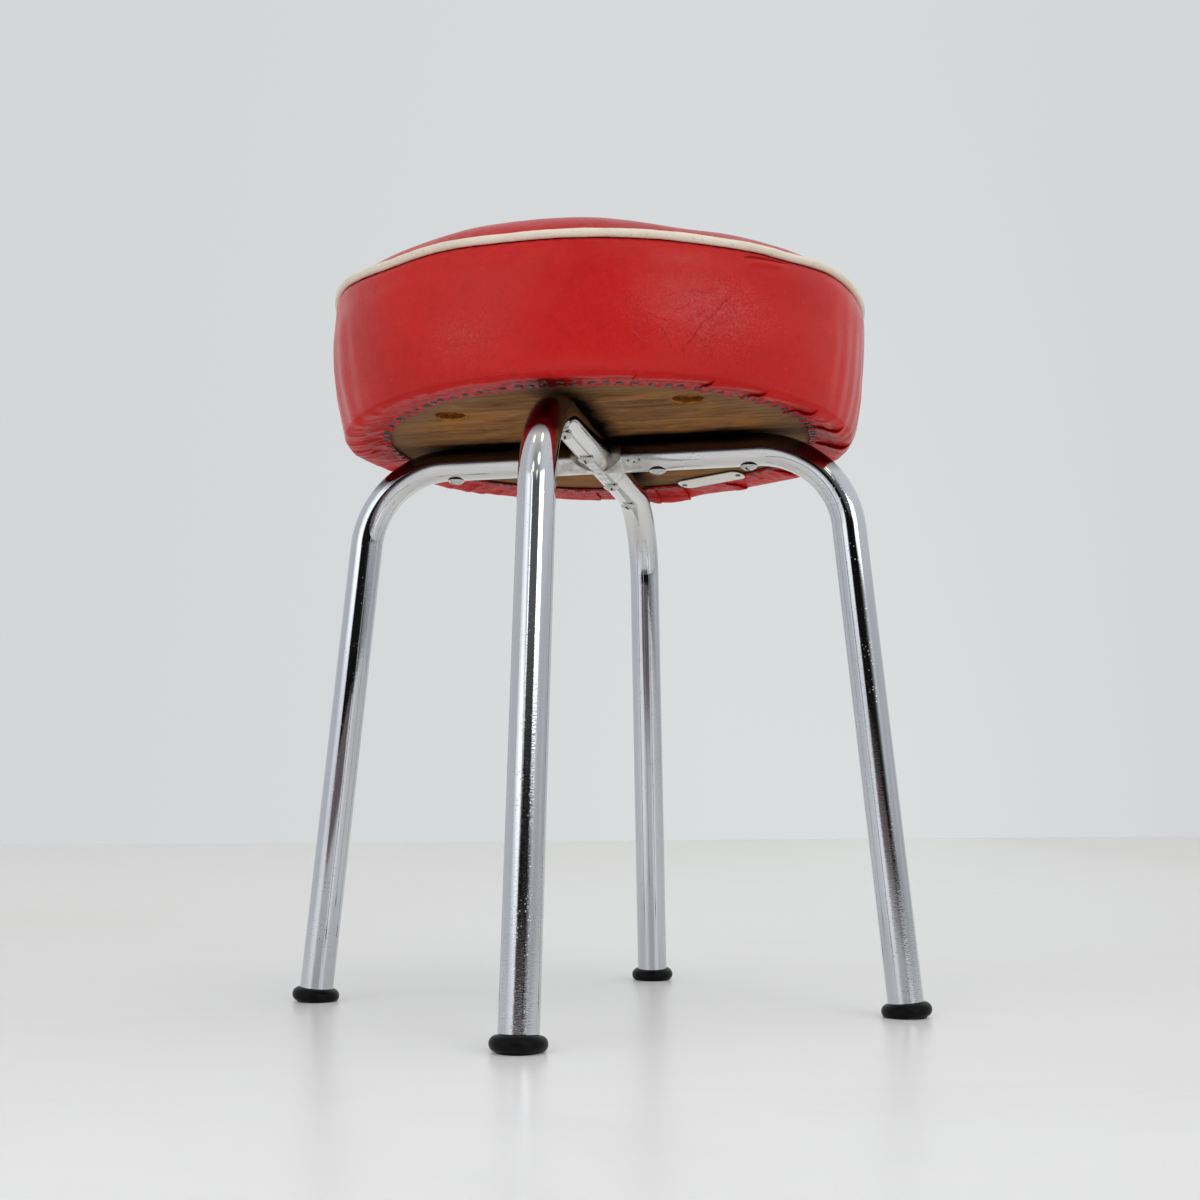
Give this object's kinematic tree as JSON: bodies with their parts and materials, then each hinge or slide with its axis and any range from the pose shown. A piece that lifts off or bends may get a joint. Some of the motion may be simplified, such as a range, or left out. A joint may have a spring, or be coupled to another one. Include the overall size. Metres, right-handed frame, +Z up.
{
  "type": "four-legged upholstered stool",
  "caption": "Low round stool with a piped vinyl cushion on a plywood board, screwed to a crossed bent-tube chrome frame with splayed legs and rubber feet.",
  "frame": {"origin": "on the floor, under the middle of the seat", "axes": "+Z up; the front leg is at -Y, the rear leg at +Y, the side legs at -X and +X"},
  "size_m": [0.418, 0.418, 0.4844],
  "materials": {
    "plywood": "unvarnished brown plywood face, soiled with age",
    "coir": "bonded coconut fibre",
    "cotton": "cotton felt",
    "red_vinyl": "leather-grained semi-gloss upholstery vinyl",
    "cream_vinyl": "satin cream upholstery vinyl over a cord",
    "chrome_tube": "bright plated steel with light pitting",
    "weld_metal": "plated weld, dull and soiled",
    "screw_metal": "nickel-plated steel, slightly tarnished",
    "black_rubber": "smooth black moulded rubber"
  },
  "bodies": {
    "root": {"seat_board": "plywood", "fibre_pad": "coir", "wadding": "cotton", "top_panel": "red_vinyl", "side_band": "red_vinyl", "piping": "cream_vinyl", "cross_tube": "chrome_tube", "front_leg_tube": "chrome_tube", "rear_leg_tube": "chrome_tube", "weld_front_left": "weld_metal", "weld_front_right": "weld_metal", "weld_rear_left": "weld_metal", "weld_rear_right": "weld_metal", "front_foot": "black_rubber", "rear_foot": "black_rubber", "left_foot": "black_rubber", "right_foot": "black_rubber", "front_inner_screw": "screw_metal", "front_outer_screw": "screw_metal", "rear_inner_screw": "screw_metal", "rear_outer_screw": "screw_metal", "left_inner_screw": "screw_metal", "left_outer_screw": "screw_metal", "right_inner_screw": "screw_metal", "right_outer_screw": "screw_metal"}
  },
  "joints": []
}
